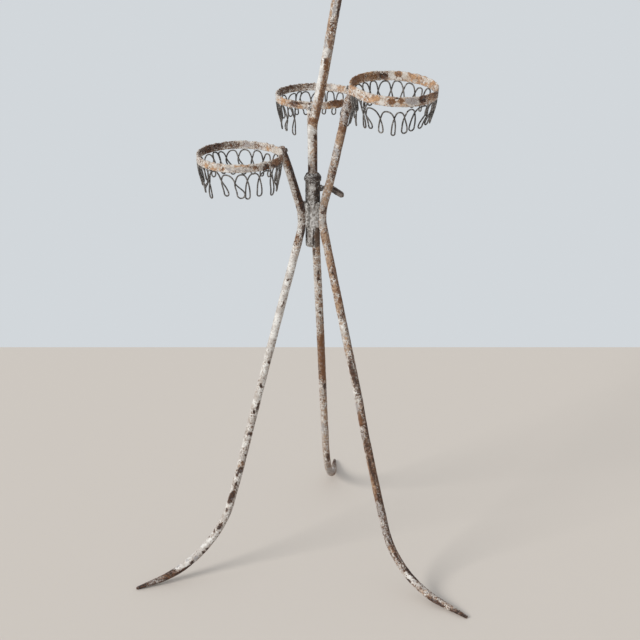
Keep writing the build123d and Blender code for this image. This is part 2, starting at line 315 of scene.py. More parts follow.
def wear_and_shade(obj, out, bare=0.0, ochre=0.0, grey=0.0, right=(0.0, 0.0, 0.0), cloud=0.12, size=20 * MM,
         seed=1.0, spots=(), rows=()):
    """Write how bare, ochre and grey each point is: worn paint, with painted shade. right is painted
    shade, added on the side away from the window and underneath; rows are added by picture row,
    and spots are ellipses on the side seen in the photograph: column, row, two half widths, kind,
    strength and a turn in degrees. Some dark spots are painted shade too."""
    co = vectors(obj.data, "co")
    if out is None:
        out = vectors(obj.data, "normal")
    # Painted shade: more bare, ochre and grey on the side away from the window and underneath.
    shade = np.clip(out[:, 0] * 0.9 - out[:, 2] * 0.25, 0, 1)
    value = np.ones((len(co), 4))
    for c, base in enumerate((bare, ochre, grey)):
        value[:, c] = base + cloud * rough(co, size, seed + 5 * c) + right[c] * shade
    u, v = picture(co)
    if rows:
        table = np.array(rows)
        for c in range(3):
            value[:, c] += np.interp(v, table[:, 0], table[:, c + 1])
    facing = np.einsum("ij,ij->i", unit(CAM_AT - co), out)
    seen = np.clip(facing * 3 + 0.6, 0, 1)
    warp = rough(co, 6 * MM, seed + 31)
    for x, y, a, b, kind, strength, *turned in spots:
        turn = math.radians(turned[0]) if turned else 0.0
        dx, dy = u - x, v - y
        ex = (dx * math.cos(turn) + dy * math.sin(turn)) / a
        ey = (-dx * math.sin(turn) + dy * math.cos(turn)) / b
        w = np.clip(1.5 - np.sqrt(ex * ex + ey * ey) + 0.25 * warp, 0, 1) * seen * strength
        value[:, :3] += w[:, None] * SPOT_GAINS[kind]
    layer = obj.data.attributes.new("wear_and_shade", "FLOAT_COLOR", "POINT")
    layer.data.foreach_set("color", np.clip(value, -0.5, 1.5).astype(np.float32).ravel())


# Materials.
class Graph:
    """The nodes of a material or a world."""

    def __init__(self, owner):
        owner.use_nodes = True
        self.owner = owner
        self.tree = owner.node_tree
        self.tree.nodes.clear()

    def node(self, kind, **values):
        n = self.tree.nodes.new("ShaderNode" + kind)
        for k, v in values.items():
            setattr(n, k, v)
        return n

    def link(self, a, b):
        self.tree.links.new(a, b)

    def put(self, socket, value):
        if hasattr(value, "is_output"):
            self.link(value, socket)
        else:
            socket.default_value = value

    def math(self, op, a, b=0.0):
        n = self.node("Math", operation=op)
        self.put(n.inputs[0], a)
        self.put(n.inputs[1], b)
        return n.outputs[0]

    def times(self, a, b):
        return self.math("MULTIPLY", a, b)

    def shaken(self, value, noise, gain):
        """A value moved up and down by noise round its middle."""
        return self.math("ADD", value, self.times(self.math("SUBTRACT", noise, 0.5), gain))

    def step(self, x, edges):
        n = self.node("MapRange", interpolation_type="SMOOTHSTEP")
        self.put(n.inputs["Value"], x)
        self.put(n.inputs["From Min"], edges[0])
        self.put(n.inputs["From Max"], edges[1])
        return n.outputs["Result"]

    def mix(self, fac, a, b):
        n = self.node("Mix", data_type="RGBA", blend_type="MIX")
        self.put(n.inputs[0], fac)
        self.put(n.inputs[6], a if hasattr(a, "is_output") else (*a, 1.0))
        self.put(n.inputs[7], b if hasattr(b, "is_output") else (*b, 1.0))
        return n.outputs[2]

    def noise(self, where, scale, detail, roughness=0.6):
        n = self.node("TexNoise", noise_dimensions="3D")
        self.link(where, n.inputs["Vector"])
        n.inputs["Scale"].default_value = scale
        n.inputs["Detail"].default_value = detail
        n.inputs["Roughness"].default_value = roughness
        return n.outputs["Fac"]


# Where one look gives way to another: start and end of each change.
PAINT_LOST = (0.48, 0.54)
NEAR_LOSS = (0.26, 0.50)
STAINED = (0.30, 0.72)
GREYED = (0.34, 0.70)
PATCHED = (0.38, 0.62)
DARK_STAIN = (0.36, 0.60)
SPECKLED = (0.44, 0.60)
RUSTED = (0.44, 0.66)
DUSTED = (0.50, 0.64)
SPECK = (0.22, 0.17, 0.13)
RELIEF = 1.2 * MM


def paint_material(name, pale=(0.80, 0.78, 0.74), pale2=(0.52, 0.48, 0.44), ochre=(0.50, 0.30, 0.15),
                   ochre2=(0.26, 0.14, 0.075), grey=(0.31, 0.30, 0.31), dark=(0.028, 0.017, 0.013),
                   rust=(0.135, 0.06, 0.03), orange=(0.21, 0.095, 0.04), rim=(0.34, 0.22, 0.13),
                   bump=1.0, fine=1.0):
    """Chipped paint over rusty iron. The attribute says where it is bare, stained and grey, from worn paint
    and from painted shade.
    """
    g = Graph(bpy.data.materials.new(name))
    coord = g.node("TexCoord").outputs["Object"]
    attribute = g.node("Attribute", attribute_name="wear_and_shade", attribute_type="GEOMETRY")
    split = g.node("SeparateColor")
    g.link(attribute.outputs["Color"], split.inputs[0])
    bare, stain, cloud = split.outputs
    big = g.noise(coord, 70.0 * fine ** 4, 3.0)
    mid = g.noise(coord, 290.0 * fine, 6.0, 0.70)
    small = g.noise(coord, 900.0 * fine, 3.0)
    other = g.noise(coord, 170.0 * fine, 5.0, 0.65)
    cloudy = g.noise(coord, 330.0 * fine, 4.0)

    x = g.shaken(g.shaken(bare, mid, 2.6), small, 1.5)
    loss = g.step(x, PAINT_LOST)
    near = g.step(x, NEAR_LOSS)
    stained = g.step(g.shaken(stain, other, 2.6), STAINED)
    greyed = g.step(g.shaken(cloud, cloudy, 2.4), GREYED)

    col = g.mix(g.step(big, PATCHED), pale, pale2)
    tan = g.mix(g.step(cloudy, DARK_STAIN), ochre, ochre2)
    col = g.mix(g.times(stained, 0.85), col, tan)
    col = g.mix(g.times(greyed, 0.8), col, grey)
    col = g.mix(g.times(near, 0.6), col, rim)
    col = g.mix(g.times(g.step(small, SPECKLED), 0.34), col, SPECK)
    metal = g.mix(g.step(mid, RUSTED), dark, rust)
    metal = g.mix(g.times(stained, 0.75), metal, orange)
    metal = g.mix(g.times(g.step(other, DUSTED), 0.30), metal, grey)
    col = g.mix(loss, col, metal)

    height = g.math("ADD", g.times(g.math("SUBTRACT", 1.0, loss), 0.16), g.times(small, 0.16))
    height = g.math("ADD", height, g.times(g.times(mid, loss), 0.45))
    bumped = g.node("Bump")
    bumped.inputs["Strength"].default_value = 1.0
    bumped.inputs["Distance"].default_value = RELIEF * bump
    g.link(height, bumped.inputs["Height"])
    shader = g.node("BsdfPrincipled")
    g.link(col, shader.inputs["Base Color"])
    g.link(g.math("ADD", g.times(loss, 0.28), 0.52), shader.inputs["Roughness"])
    shader.inputs["Specular IOR Level"].default_value = 0.35
    g.link(bumped.outputs[0], shader.inputs["Normal"])
    end = g.node("OutputMaterial")
    g.link(shader.outputs[0], end.inputs["Surface"])
    return g.owner


PAINT = paint_material("chipped_paint")
BAND = paint_material(
    "rusted_band", pale=(0.76, 0.72, 0.67), pale2=(0.58, 0.52, 0.45), ochre=(0.60, 0.30, 0.10),
    ochre2=(0.34, 0.16, 0.065), grey=(0.36, 0.33, 0.33), rust=(0.20, 0.09, 0.045))
HUB = paint_material(
    "hub_paint", pale=(0.72, 0.70, 0.67), pale2=(0.24, 0.22, 0.20), ochre=(0.28, 0.20, 0.13),
    ochre2=(0.16, 0.11, 0.08), grey=(0.22, 0.21, 0.205), dark=(0.018, 0.014, 0.012),
    rust=(0.10, 0.065, 0.045), orange=(0.17, 0.10, 0.06), rim=(0.16, 0.13, 0.11), fine=1.3)
WIRE = paint_material(
    "dark_wire", pale=(0.36, 0.34, 0.32), pale2=(0.12, 0.11, 0.10), ochre=(0.10, 0.065, 0.045),
    ochre2=(0.05, 0.036, 0.03), grey=(0.12, 0.115, 0.11), dark=(0.012, 0.010, 0.009),
    rust=(0.035, 0.027, 0.023), orange=(0.05, 0.034, 0.025), rim=(0.07, 0.06, 0.055),
    bump=0.5, fine=1.5)
SCREW = paint_material(
    "worn_iron", pale=(0.30, 0.26, 0.23), pale2=(0.22, 0.19, 0.17), ochre=(0.22, 0.15, 0.10),
    ochre2=(0.14, 0.09, 0.06), grey=(0.24, 0.22, 0.21), dark=(0.03, 0.022, 0.018),
    rust=(0.11, 0.07, 0.05), orange=(0.16, 0.09, 0.05), rim=(0.14, 0.11, 0.09), fine=1.4)


def dress(obj, body, material, slot, *nodes):
    obj.data.materials.clear()
    obj.data.materials.append(material)
    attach(obj, body)
    if nodes:
        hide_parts(*nodes)


# Lines of the rods and places of the rings, worked out as the solids' are.
def ring_axes(rod):
    """A ring's centre and its three axes, the last one upwards."""
    d, a = math.radians(rod["droop"]), math.radians(rod["to"])
    n = np.array((math.sin(d) * math.cos(a), math.sin(d) * math.sin(a), math.cos(d)))
    x = unit(np.array((n[2], 0.0, -n[0])))
    centre = polar(rod["x"] * MM, rod["arm"] + rod["past"], (rod["z"] - rod["sag"]) * MM)
    return centre, x, np.cross(n, x), n


def arm_line(rod):
    """The knee and the arm's top end."""
    centre = polar(rod["x"] * MM, rod["arm"] + rod["past"], 0.0)
    along = centre @ polar(1.0, rod["arm"], 0.0)
    aside = centre @ centre - along ** 2
    reach = along - math.sqrt((RING_R + rod["off"] * MM) ** 2 - aside)
    tilt = math.sin(math.radians(rod["droop"])) * math.cos(math.radians(rod["arm"] - rod["to"]))
    z_mid = rod["z"] * MM + RING_R * tilt
    slope = (reach - ARM_START) / (z_mid - KNEE_Z)
    half = (math.atan(slope) + math.atan(LEG_SLOPE)) / 2
    knee_r = TUBE_R + ROD_R + WELD_GAP - KNEE_BEND * (1 / math.cos(half) - 1)
    top_z = z_mid + rod["h"] * MM / 2 - ARM_SHORT
    knee = polar(knee_r, (rod["leg"] + rod["arm"]) / 2, KNEE_Z)
    return knee, polar(reach + slope * (top_z - z_mid), rod["arm"], top_z)


def rod_line(rod):
    knee, top = arm_line(rod)
    knee_r = math.hypot(knee[0], knee[1])
    fall = math.tan(math.radians(rod["tip"]))
    z = (TIP_R + fall * (FOOT_RADIUS - knee_r - LEG_SLOPE * KNEE_Z)) / (1 - fall * LEG_SLOPE)
    r = knee_r + LEG_SLOPE * (KNEE_Z - z)
    flat = math.cos(math.radians(rod["tip"]))
    turn = math.pi / 2 - math.radians(rod["tip"]) - math.atan(LEG_SLOPE)
    start = FOOT_RADIUS - rod["taper"] * MM * flat
    bend = (start - r) / flat / math.tan(turn / 2)
    corners = [polar(FOOT_RADIUS, rod["leg"], TIP_R), polar(r, rod["leg"], z), knee, top]
    return bend_line(corners, [bend, KNEE_BEND])


# Spots on each rod, as wear() takes them.
SPOTS = {
    "left": [
        (296.5, 240, 3, 6, "r", .5), (291.7, 246.5, 1, 1.2, "d", .3), (289.8, 253, 1, 1.5, "g", .5),
        (286.4, 269.8, 1, 1.5, "g", .5), (287.5, 280.1, 1.8, 1.2, "d", .7), (279.9, 290.4, 1, 2, "g", .7),
        (283.3, 302.7, 1.2, 1.6, "d", .6), (281.8, 305.9, 1.2, 1.4, "d", .6),
        (268.9, 362.4, 1.6, 1.5, "d", .8), (269.3, 367, 1, 3, "o", .5), (261, 386, 1.4, 2.3, "d", .9, -15),
        (257.7, 406.5, 1, 4.5, "d", .7, 15), (254, 412, 1.4, 1.9, "d", .9),
        (249.4, 433.7, 2.1, 1.5, "d", 1), (245.3, 455.3, .8, 1.2, "d", .6),
        (242.4, 463.5, 1.6, 2.2, "r", .8), (239.5, 465, 1.2, 2, "o", .8), (240.3, 469.6, 1.8, 2.6, "d", .9),
        (237.8, 473.3, 1.2, 3, "d", .8, 15), (236.1, 484, 1.2, 3, "d", .7, 15),
        (231.6, 496.5, 2.2, 6.5, "d", 1, 22), (226.6, 509.8, 1.1, 2, "d", .8, 20),
        (219.6, 526.8, 1.8, 3.8, "d", 1, 28), (208.8, 536.3, .9, 1.4, "d", .6), (214.5, 531, 1, 2, "d", .5),
        (207.1, 548.8, 1.6, 1.1, "d", .8), (203, 552, 1.8, 1.3, "d", .9),
        (196.3, 557.9, 2.6, 1.6, "g", .9, -40), (192.2, 562, 2, 1.2, "d", .7, -40),
        (187.2, 560.4, 1.6, 1, "g", .8, -30), (178.1, 566.2, 1.8, 1, "g", .8, -30),
        (185, 569.4, 9, 1.4, "d", .8, -32), (205, 545, 9, 2.2, "w", .3, -40),
        (183, 565.5, 5, 1.8, "w", .5, -30), (156, 580, 20, 7, "d", .2, -20), (141, 585.5, 5, 4, "d", .7),
        (170, 572, 5, 3, "d", .4), (170, 574, 8, 4, "r", .4, -20), (146, 584, 12, 4, "g", .35, -15),
        # The long dark spots down the left arm's right edge are painted shade.
        (289.5, 158, 2.2, 8, "d", 1, -18), (294, 174, 2.2, 12, "d", 1, -16), (299, 194, 2, 11, "d", 1, -14),
        (302.5, 206, 2.2, 5, "d", 1, -20), (284.5, 172, 1.8, 12, "w", .5, -18),
        (290, 190, 1.6, 12, "o", .4, -16), (288.2, 163.7, 2.2, 3.5, "r", .9, -15),
        (286, 170, 1.5, 5, "w", .3), (295.6, 207.3, 1.2, 1.3, "d", 1), (292, 190, 1.3, 14, "w", .25, -12),
        (300.8, 219.5, 1, 1.4, "d", 1), (303.5, 232, 1.5, 6, "d", .5), (296, 228.5, .9, 1, "d", .9),
        (283.7, 151, 2.2, 2.2, "g", .5)],
    "right": [
        (323.9, 237, 3, 5, "o", .9), (325.4, 247, 2, 4, "w", .4), (329.6, 258, 3, 6, "o", .7),
        (333, 272, 1.5, 2, "d", .7), (334.6, 289, 1.8, 4, "o", .8), (340, 300.4, 1.6, 3, "r", .8),
        (338.4, 307, 2, 5, "o", .9), (342, 316, 2, 3, "d", .4), (343, 330, 1.8, 4, "w", .4),
        (346.5, 348, 3, 9, "o", .4), (348.3, 374, 1.4, 15, "w", .7, -13), (352.6, 372, 2, 16, "d", .6, -13),
        (353.7, 393.6, 1.6, 3, "w", .5), (357, 400.7, 1.8, 1.5, "w", .7),
        (356.8, 407, 1.4, 4, "g", .8, -13), (360.6, 420, 1.8, 6, "r", .9, -13),
        (361.8, 428.6, 1.4, 1.5, "w", .7), (363, 434, 1.3, 4, "g", .8, -13),
        (366.5, 446, 2, 6, "d", .4, -13), (364.8, 455, 1, 2, "w", .8), (366.4, 465, 1.6, 9, "o", .8, -13),
        (371.5, 470, 1.6, 14, "d", .6, -13), (373.6, 487, 1.7, 10, "o", .8, -15),
        (377.5, 497, 1.5, 6, "d", .5, -15), (380, 510, 2, 7, "g", .7, -18),
        (379.3, 520, 1.2, 5, "w", .5, -20), (388, 538, 3, 8, "g", .3, -25),
        (391.7, 549, 2, 6, "o", .5, -30), (395, 553, 1, 18, "d", .5, -28), (409.5, 577, 3, 4, "w", .4, -45),
        (408.5, 580.5, 3, 1.3, "d", .9, 45), (411.5, 573.5, 1.8, 8, "d", .9, -46),
        (423.4, 593, 4, 1.2, "o", .35, 40), (429.3, 597.5, 2.2, 2, "r", .5, 35),
        (436, 602.5, 7, 2, "d", .75, 30), (440, 602, 2, 1, "w", .5, 30), (447, 608.5, 3, 1.5, "w", .3, 28),
        (458, 614, 8, 3, "d", .6, 25), (417, 584, 3, 1.2, "w", .5, 42), (346.4, 106.5, 2, 2.2, "g", .6),
        (346.3, 113, 1.2, 1.3, "d", .9), (345, 120, 2.4, 7, "g", .5), (342.5, 128, 3, 5, "r", .5),
        (339, 140, 3.5, 8, "o", .7), (336, 150, 3.5, 8, "g", .4), (333, 172, 2.5, 6, "d", .35),
        (329, 186, 3.5, 8, "o", .45), (325.5, 199, 2.5, 7, "o", .35), (322.5, 212.5, 1.1, 1.3, "d", .9),
        (325, 208, 1.4, 4, "d", .4), (322.6, 220, 2.4, 3, "w", .5), (318.2, 218.6, 1.1, 1.6, "g", 1),
        (324, 222, 1.6, 2, "g", .5)],
    "back": [
        (316, 236, 3.4, 8, "r", .5), (317.9, 249, 1.6, 5, "o", .7), (314, 252, 1.2, 4, "d", .6),
        (318.1, 279, 1.2, 2, "d", .8), (318.3, 273, 1, 3, "d", .5), (320, 296, 1.3, 1.8, "r", .9),
        (321.6, 305.4, 1, 1.6, "r", .8), (319, 302, 2, 4, "o", .4), (320, 312.6, .9, 1.2, "d", .9),
        (322.4, 345, 2.6, 9, "r", 1), (322.8, 358, 2.6, 9, "r", 1), (319.8, 350, 1.2, 12, "o", .9),
        (323.8, 372, 1.6, 8, "r", .9), (324.5, 386.5, 1.4, 3, "d", .8), (325.6, 415, 2, 5, "o", .4),
        (323, 428, 1.2, 5, "g", .6), (328.3, 457, 1.8, 3, "d", .7), (331, 470, 4, 3, "g", .5),
        (334, 462, 2, 5, "d", .5), (309.6, 104, 1, 1.2, "d", .9), (311, 110, 1.1, 1.5, "d", .9),
        (310.2, 114.8, 1, 1.2, "d", .9)],
}

# Each rod's worn paint by picture row: row, bare, ochre and grey. The right gains are painted shade on each
# rod's side away from the window.
BASE = {
    "left": dict(seed=2.0, right=(0.24, 0.10, 0.10), rows=[
        (150, .5, .25, .3), (165, .45, .3, .2), (205, .35, .3, .2), (225, .3, .2, .3), (240, .25, .3, .2),
        (255, .12, .08, .22), (340, .12, .08, .2), (380, .2, .12, .22), (440, .27, .15, .28),
        (540, .22, .12, .25), (560, .18, .05, .3), (570, .35, .2, .4), (578, .46, .3, .5),
        (590, .46, .3, .5)]),
    "right": dict(seed=5.0, right=(0.42, 0.08, 0.0), rows=[
        (85, .35, .4, .4), (110, .32, .4, .5), (130, .38, .5, .3), (160, .3, .4, .35), (190, .2, .46, .2),
        (215, .24, .4, .3), (240, .38, .55, .1), (310, .36, .5, .2), (330, .28, .4, .3),
        (345, .33, .35, .35), (390, .38, .3, .3), (410, .5, .4, .4), (460, .54, .5, .1),
        (500, .54, .45, .3), (520, .46, .3, .55), (550, .48, .35, .5), (570, .36, .32, .4),
        (600, .43, .28, .32), (615, .65, .4, .3)]),
    "back": dict(seed=8.0, right=(0.22, 0.16, 0.05), rows=[
        (100, .25, .2, .2), (230, .4, .45, .2), (260, .28, .36, .2), (300, .28, .36, .3),
        (330, .34, .45, .2), (338, .6, .6, 0), (376, .6, .6, 0), (385, .3, .4, .3), (440, .28, .45, .3),
        (470, .38, .4, .4)]),
}

# How far a line strays sideways: picture row and pixels.
STRAY = {
    "left": [
        (145, 3), (160, 2.6), (170, 2), (180, 1), (190, 0), (200, -1), (215, -.5), (230, 0), (300, -.8),
        (350, -1.3), (410, -1.6), (470, -1.6), (490, -2.1), (540, -2.9), (560, -2.4), (575, -1), (590, 0)],
    "right": [
        (120, 1.4), (130, 1.9), (180, 1.9), (200, 1), (220, 0), (400, -.3), (430, -1.3), (490, -1.3),
        (530, -.7), (560, 0), (620, 0)],
    "back": [(95, 0), (200, 0), (240, 1), (320, 1), (400, .4), (470, .5), (480, 0)],
    "pole": [(0, 1.6), (55, 1.8), (75, 1.9), (100, 1.3), (122, 0), (180, 0)],
}
# How much of each arm's top the photograph shows cut off, in millimetres.
TOP_CUT = {"left": 5.0, "right": 12.0, "back": 3.0}


def astray(line, name):
    v = picture(line)[1]
    table = np.array(STRAY[name], float)
    line[:, 0] += np.interp(v, table[:, 0], table[:, 1]) * ((line - CAM_AT) @ CAM_FWD) / FOCAL
    return line


BODY = "stand"
ROD_SIDES = 48
WORN_TIP_R = 2.9 * MM
TOP_BLUNT = 0.45
TIP_TAPER = 85 * MM
TIP_SETTLE = 35 * MM
BACK_TIP_SHIFT = 7.5 * MM
BACK_TIP_RUN = 95 * MM
THIN_SHARE = 0.62
THIN_FROM = 28 * MM
THIN_TO = 42 * MM


def rod_object(side, rod):
    """A rod that keeps outside its ring. Gives its top end's place, radius and direction."""
    line = astray(rod_line(rod), side)
    run = np.concatenate(([0], np.cumsum(np.linalg.norm(np.diff(line, axis=0), axis=1))))
    if side == "back":
        line[:, 0] -= BACK_TIP_SHIFT * np.clip(1 - run / BACK_TIP_RUN, 0, 1) ** 1.3
    line[:, 2] -= (TIP_R - WORN_TIP_R) * np.exp(-run / TIP_SETTLE)
    radii = WORN_TIP_R + (ROD_R - WORN_TIP_R) * (1 - (1 - np.clip(run / TIP_TAPER, 0, 1)) ** 1.5)
    left = run[-1] - run
    keep = left > TOP_CUT[side] * MM
    line, radii, left = line[keep], radii[keep], left[keep]
    if side == "right":
        full = np.clip((left - THIN_FROM) / (THIN_TO - THIN_FROM), 0, 1) ** 1.5
        radii = radii * (THIN_SHARE + (1 - THIN_SHARE) * full)
    grid, out, s = tube_grid(line, radii, ROD_SIDES, blunt=TOP_BLUNT)
    flat, dirs = grid.reshape(-1, 3), out.reshape(-1, 3)
    seed = BASE[side]["seed"]
    lump = 0.30 * MM * noise(flat, 22 * MM, seed) + 0.26 * MM * rough(flat, 5 * MM, seed + 3)
    flat = flat + dirs * lump[:, None]
    centre, _, _, an = ring_axes(rod)
    rel = flat - centre
    rad = rel - an * (rel @ an)[:, None]
    beside = np.clip((rel @ an + rod["h"] * MM / 2 + 8 * MM) / (6 * MM), 0, 1)
    push = np.clip(RING_R + 0.05 * MM - np.linalg.norm(rad, axis=1), 0, 14 * MM) * beside
    flat = flat + unit(rad) * push[:, None]
    flat[:, 2] = np.maximum(flat[:, 2], 0.02 * MM)
    obj = tube_object(f"rod_{side}_worn", flat.reshape(grid.shape), s, 2 * math.pi * ROD_R)
    wear_and_shade(obj, dirs, spots=SPOTS[side], **BASE[side])
    dress(obj, BODY, PAINT, "painted_rods", f"rod_{side}")
    return line[-1], radii[-1], unit(line[-1] - line[-12])


arm_tops = {side: rod_object(side, rod) for side, rod in RODS.items()}


# Bands: flat strips bent to rings, pitted and uneven.
# The wide, faint dark spots on the inner sides of the left and back bands are painted shade over rust.
BAND_SPOTS = {
    "left": [
        (206, 165, 3, 3, "o", .8), (214.6, 168.6, 5, 2.4, "o", .9), (223, 169.3, 1.3, 1.8, "r", 1),
        (228.6, 169.3, 2.5, 2, "g", .9), (225.8, 171, 2, 1.5, "w", .6), (241, 166, 9, 1.2, "o", .7),
        (241, 169.6, 8, 2, "g", .45), (255, 168, 3.4, 2.4, "r", .7), (261, 169.5, 3, 2.5, "g", .6),
        (266, 168, 3, 4, "d", .8), (276, 162.5, 6, 3.5, "r", .8), (277, 166, 5, 2, "d", .5),
        (281, 158, 4, 3, "r", .6), (205, 150, 8, 4, "d", .35, -25), (222, 143.5, 12, 3.5, "d", .35, -8),
        (246, 145, 6, 3, "g", .8), (257.4, 147, 4, 2.5, "g", .3), (268.6, 149.6, 4, 2.5, "o", .5),
        (276.3, 151.8, 4, 3, "w", .5), (212, 149, 10, 4, "d", .3, -20), (236, 145.5, 6, 3, "d", .4),
        (254, 146, 5, 2, "d", .3)],
    "right": [
        (353, 87, 5, 3, "o", .5), (368, 100.7, 4, 3, "o", .8), (375.8, 98.6, 4, 2.2, "o", .9),
        (381.4, 102, 3, 2.2, "w", .5), (391.9, 101.4, 3.6, 2.6, "r", .9), (391.9, 101.6, 1.2, 1.6, "d", .6),
        (401.8, 100.7, 3, 2.2, "r", .9), (397.6, 98.4, 2, 1, "d", .7), (411, 100.6, 6, 3.6, "g", 1),
        (422.3, 98.6, 3.2, 3.8, "d", 1), (431, 95.8, 5, 4, "r", .7), (436, 93, 2.5, 4, "d", .4),
        (354, 80, 4, 6, "r", .9), (362, 76, 6, 5, "r", .7), (373.7, 76, 4, 3, "r", .7),
        (383.5, 76, 5, 3.5, "d", .6), (392, 74, 2, 3, "w", .6), (398, 74, 3, 2.6, "r", .9),
        (405, 75, 2.5, 3, "w", .4), (412, 76, 4, 3, "o", .9), (420, 78, 3, 3, "o", .5),
        (427, 80, 4, 3, "w", .4), (433, 84, 3, 4, "o", .5)],
    "back": [
        (283, 101.5, 5, 3, "o", .9), (294, 103.3, 3.6, 3, "d", .9), (300.4, 105.4, 4, 2.4, "o", .6),
        (300.4, 103, 3, 1.4, "d", .6), (328, 105.5, 3, 3, "o", .6), (336.5, 103.5, 7.5, 3.4, "r", 1),
        (336, 102.8, 6, 2.4, "d", .6), (338, 106.6, 4, 1, "o", .6), (285, 90, 9, 5, "d", .4, -25),
        (302, 85.5, 12, 4, "d", .35), (330.3, 86.6, 5, 3, "g", .5), (334, 87, 2, 2, "w", .5),
        (341.2, 88.4, 3.6, 2.8, "o", .9)],
}

BAND_LOOK = {
    "left": dict(seed=21.0, bare=0.29, ochre=0.19, grey=0.30),
    "right": dict(seed=27.0, bare=0.27, ochre=0.39, grey=0.18),
    "back": dict(seed=33.0, bare=0.29, ochre=0.28, grey=0.26),
}
BAND_STEPS = 620
BAND_BEVEL = 0.5 * MM
SEAM = (179.4, 188.6)
STRAIGHT_FROM = math.radians(208)


def band_object(name, rod, seed, seam=None):
    """A strip with eaten edges. At the seam, given in degrees, its front end runs straight and its
    back end is torn."""
    centre, ax, ay, an = ring_axes(rod)
    h = rod["h"] * MM / 2
    c = BAND_BEVEL
    inner, mid, outer = RING_R - BAND_T, RING_R - BAND_T / 2, RING_R
    wall = np.linspace(-1, 1, 13) * (1 - c / h)
    sec = [(outer, h * w) for w in wall]
    sec += [(outer - c, h), (mid, h), (inner + c, h)]
    sec += [(inner, -h * w) for w in wall]
    sec += [(inner + c, -h), (mid, -h), (outer - c, -h)]
    sec = np.array(sec)
    closed = seam is None
    if closed:
        phi = np.linspace(0, 2 * math.pi, BAND_STEPS, endpoint=False)
    else:
        phi = np.radians(np.linspace(seam[1], seam[0] + 360, BAND_STEPS))
    rr = np.tile(sec[:, 0], (BAND_STEPS, 1))
    zz = np.tile(sec[:, 1], (BAND_STEPS, 1))
    ring = np.stack([np.cos(phi), np.sin(phi), 0 * phi], -1) * RING_R
    top = np.clip(zz / h, 0, 1) ** 3
    low = np.clip(-zz / h, 0, 1) ** 3
    eat = 0.9 * MM * rough(ring, 7 * MM, seed) + 1.4 * MM * rough(ring, 3.2 * MM, seed + 1) - 0.4 * MM
    eat_low = 0.5 * MM * rough(ring, 9 * MM, seed + 2) + 0.6 * MM * rough(ring, 2.8 * MM, seed + 4)
    if not closed:
        straight = np.clip(STRAIGHT_FROM - phi, 0, 1)
        torn = np.exp(-(phi[-1] - phi) * RING_R / (8 * MM))
        eat = eat * (1 + 2.2 * torn) - 1.2 * MM * torn
        eat_low = eat_low * (1 + 2.2 * torn)
        rr = rr + (RING_R * (1 / np.cos(straight) - 1) + 2.2 * MM * torn)[:, None]
        zz = zz + (1.6 * MM * torn - 2.2 * MM * (straight / 0.34) ** 2)[:, None]
    zz = zz + top * eat[:, None] - low * eat_low[:, None]
    radial = ax * np.cos(phi)[:, None, None] + ay * np.sin(phi)[:, None, None]
    pos = centre + radial * rr[..., None] + an * zz[..., None]
    edge = (np.abs(np.abs(sec[:, 1]) - h) < 1e-9)[None, :, None]
    dirs = np.where(edge, np.sign(sec[:, 1])[None, :, None] * an,
                    np.sign(sec[:, 0] - mid)[None, :, None] * radial)
    flat, dirs = pos.reshape(-1, 3), dirs.reshape(-1, 3)
    bow = 0.21 * MM * noise(flat, 40 * MM, seed + 6)
    pit = 0.34 * MM * rough(flat, 4 * MM, seed + 7)
    radial = np.broadcast_to(radial, pos.shape).reshape(-1, 3)
    flat = flat + radial * bow[:, None] + dirs * pit[:, None]
    s = RING_R * (phi - phi[0])
    return tube_object(name, flat.reshape(pos.shape), s, 2 * (2 * h + BAND_T), closed), dirs


for side, rod in RODS.items():
    look = BAND_LOOK[side]
    obj, dirs = band_object(f"band_{side}_worn", rod, look["seed"], SEAM if side == "right" else None)
    # The right gains are painted shade on each band's side away from the window.
    wear_and_shade(obj, dirs, right=(0.06, 0.0, 0.05), cloud=0.2, size=12 * MM, spots=BAND_SPOTS[side], **look)
    dress(obj, BODY, BAND, "painted_bands", f"ring_band_{side}")


# Galleries: one bent wire each. Column, row and loop number of the tops, crossings and lows that the
# photograph shows on the near and far sides.
SEEN = {
    "left": dict(
        front_top=[(214.6, 171.5, 15), (225.8, 175.2, 16), (241.6, 174.9, 17), (253.9, 173.5, 18)],
        front_cross=[
            (209.3, 180.5, 14), (221.3, 179.4, 15), (235, 182.8, 16), (247.5, 181.2, 17),
            (259.5, 178.4, 18), (271.8, 176.3, 19)],
        front_low=[
            (205.8, 192, 13), (211.8, 199, 14), (226.8, 196, 15), (241.2, 198.4, 16), (247.8, 199, 17),
            (259.3, 196, 18), (271.8, 195, 19), (278.2, 191, 20)],
        back_top=[
            (208.2, 154.6), (220.2, 151.8), (232.8, 150.2), (244.7, 149.6), (257, 150.6), (267.5, 153.9)],
        back_cross=[(214.2, 160.9), (226.5, 158.4), (238.4, 157.6), (252.1, 158), (263.3, 159.5)]),
    "right": dict(
        front_top=[(370.2, 108, 15), (386.7, 111.9, 16), (400, 113, 17), (411.6, 109.5, 18)],
        front_cross=[
            (365.6, 112.6, 14), (380.4, 118.2, 15), (394.4, 119, 16), (404.6, 118.2, 17),
            (414.7, 113.3, 18)],
        front_low=[
            (357, 131, 12), (364.8, 127.6, 13), (370.5, 128.3, 14), (380.7, 132.7, 15), (392.8, 135.4, 16),
            (403.8, 133.3, 17), (411, 130.8, 18), (419.6, 128.2, 19), (425.7, 124.6, 20), (432, 123, 21)],
        back_top=[(373, 81), (385.6, 80.9), (397.2, 80.9), (409.8, 83.2), (420.7, 88)],
        back_cross=[(363.2, 90.2), (378.2, 91.6), (391.2, 90.2), (403.5, 89.5), (415.4, 90.9)]),
    "back": dict(
        front_low=[(279.5, 128.6, 12), (286.5, 130.5, 13), (294.4, 134.7, 14)],
        back_top=[(294.1, 93.5), (305.6, 91.8), (330.3, 91.2)],
        back_cross=[(300.1, 99.6), (311, 99.9)]),
}

